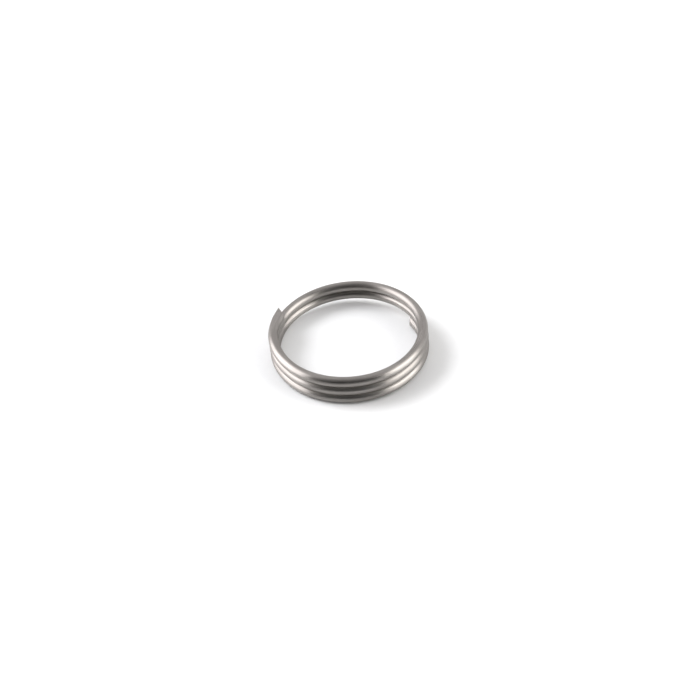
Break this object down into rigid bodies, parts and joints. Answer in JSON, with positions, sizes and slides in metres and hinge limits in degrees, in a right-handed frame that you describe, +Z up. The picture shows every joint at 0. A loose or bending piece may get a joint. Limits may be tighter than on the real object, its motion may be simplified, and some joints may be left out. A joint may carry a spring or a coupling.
{
  "type": "split key ring",
  "caption": "Split key ring: a length of round spring wire wound into a close flat coil, whose sheared ends spring apart to let a key slide round onto it.",
  "frame": {"origin": "on the ground under the coil, straight below the foot of its axis", "axes": "+Z up as the ring lies on a level surface, leaning a little because its lower tip lifts one side; the lower tip is 27 degrees round from +X, counter-clockwise seen from above, and the wire climbs clockwise from it"},
  "size_m": [0.0191, 0.019, 0.0038],
  "materials": {
    "spring_wire": "hard-drawn stainless wire, bright with a fine satin"
  },
  "bodies": {
    "lower_tip": {"lower_tip": "spring_wire"},
    "lower_leaf_2": {"lower_leaf_2": "spring_wire"},
    "lower_leaf_3": {"lower_leaf_3": "spring_wire"},
    "lower_leaf_4": {"lower_leaf_4": "spring_wire"},
    "lower_leaf_5": {"lower_leaf_5": "spring_wire"},
    "lower_leaf_6": {"lower_leaf_6": "spring_wire"},
    "middle_coil": {"middle_coil_01": "spring_wire", "middle_coil_02": "spring_wire", "middle_coil_03": "spring_wire", "middle_coil_04": "spring_wire", "middle_coil_05": "spring_wire", "middle_coil_06": "spring_wire", "middle_coil_07": "spring_wire", "middle_coil_08": "spring_wire", "middle_coil_09": "spring_wire", "middle_coil_10": "spring_wire", "middle_coil_11": "spring_wire", "middle_coil_12": "spring_wire", "middle_coil_13": "spring_wire", "middle_coil_14": "spring_wire", "middle_coil_15": "spring_wire", "middle_coil_16": "spring_wire", "middle_coil_17": "spring_wire", "middle_coil_18": "spring_wire", "middle_coil_19": "spring_wire", "middle_coil_20": "spring_wire"},
    "upper_leaf_6": {"upper_leaf_6": "spring_wire"},
    "upper_leaf_5": {"upper_leaf_5": "spring_wire"},
    "upper_leaf_4": {"upper_leaf_4": "spring_wire"},
    "upper_leaf_3": {"upper_leaf_3": "spring_wire"},
    "upper_leaf_2": {"upper_leaf_2": "spring_wire"},
    "upper_tip": {"upper_tip": "spring_wire"}
  },
  "joints": [
    {"name": "lower_leaf_bend_1", "type": "hinge", "parent": "lower_tip", "child": "lower_leaf_2", "pos_m": [0.00888, -0.00044, 0.00073], "axis": [0.9593, 0.2802, 0.0349], "range_deg": [0, 0.442], "stiffness_Nm_per_rad": 4.138},
    {"name": "lower_leaf_bend_2", "type": "hinge", "parent": "lower_leaf_2", "child": "lower_leaf_3", "pos_m": [0.00748, -0.0048, 0.00078], "axis": [0.9969, 0.0707, 0.0347], "range_deg": [0, 0.904], "stiffness_Nm_per_rad": 3.893},
    {"name": "lower_leaf_bend_3", "type": "hinge", "parent": "lower_leaf_3", "child": "lower_leaf_4", "pos_m": [0.0041, -0.00789, 0.00075], "axis": [0.9834, -0.1785, 0.033], "range_deg": [0, 1.37], "stiffness_Nm_per_rad": 3.632},
    {"name": "lower_leaf_bend_4", "type": "hinge", "parent": "lower_leaf_4", "child": "lower_leaf_5", "pos_m": [-0.00036, -0.00889, 0.00068], "axis": [0.8943, -0.4465, 0.0287], "range_deg": [0, 1.78], "stiffness_Nm_per_rad": 3.429},
    {"name": "lower_leaf_bend_5", "type": "hinge", "parent": "lower_leaf_5", "child": "lower_leaf_6", "pos_m": [-0.00474, -0.00754, 0.00062], "axis": [0.718, -0.6957, 0.0214], "range_deg": [0, 2.07], "stiffness_Nm_per_rad": 3.306},
    {"name": "lower_leaf_open", "type": "hinge", "parent": "lower_leaf_6", "child": "middle_coil", "pos_m": [-0.00787, -0.0042, 0.0006], "axis": [0.4646, -0.8854, 0.0116], "range_deg": [0, 2.14], "stiffness_Nm_per_rad": 3.264},
    {"name": "upper_leaf_lift", "type": "hinge", "parent": "middle_coil", "child": "upper_leaf_6", "pos_m": [0.00774, -0.0042, 0.00322], "axis": [0.4646, 0.8854, 0.0134], "range_deg": [0, 2.14], "stiffness_Nm_per_rad": 3.264},
    {"name": "upper_leaf_bend_5", "type": "hinge", "parent": "upper_leaf_6", "child": "upper_leaf_5", "pos_m": [0.00462, -0.00755, 0.0032], "axis": [0.718, 0.6957, 0.0229], "range_deg": [0, 2.07], "stiffness_Nm_per_rad": 3.306},
    {"name": "upper_leaf_bend_4", "type": "hinge", "parent": "upper_leaf_5", "child": "upper_leaf_4", "pos_m": [0.00024, -0.0089, 0.00314], "axis": [0.8943, 0.4465, 0.0296], "range_deg": [0, 1.78], "stiffness_Nm_per_rad": 3.429},
    {"name": "upper_leaf_bend_3", "type": "hinge", "parent": "upper_leaf_4", "child": "upper_leaf_3", "pos_m": [-0.00423, -0.00789, 0.00307], "axis": [0.9834, 0.1785, 0.0333], "range_deg": [0, 1.37], "stiffness_Nm_per_rad": 3.632},
    {"name": "upper_leaf_bend_2", "type": "hinge", "parent": "upper_leaf_3", "child": "upper_leaf_2", "pos_m": [-0.00761, -0.0048, 0.00305], "axis": [0.9969, -0.0707, 0.0346], "range_deg": [0, 0.904], "stiffness_Nm_per_rad": 3.893},
    {"name": "upper_leaf_bend_1", "type": "hinge", "parent": "upper_leaf_2", "child": "upper_tip", "pos_m": [-0.009, -0.00044, 0.0031], "axis": [0.9593, -0.2802, 0.0343], "range_deg": [0, 0.442], "stiffness_Nm_per_rad": 4.138}
  ]
}
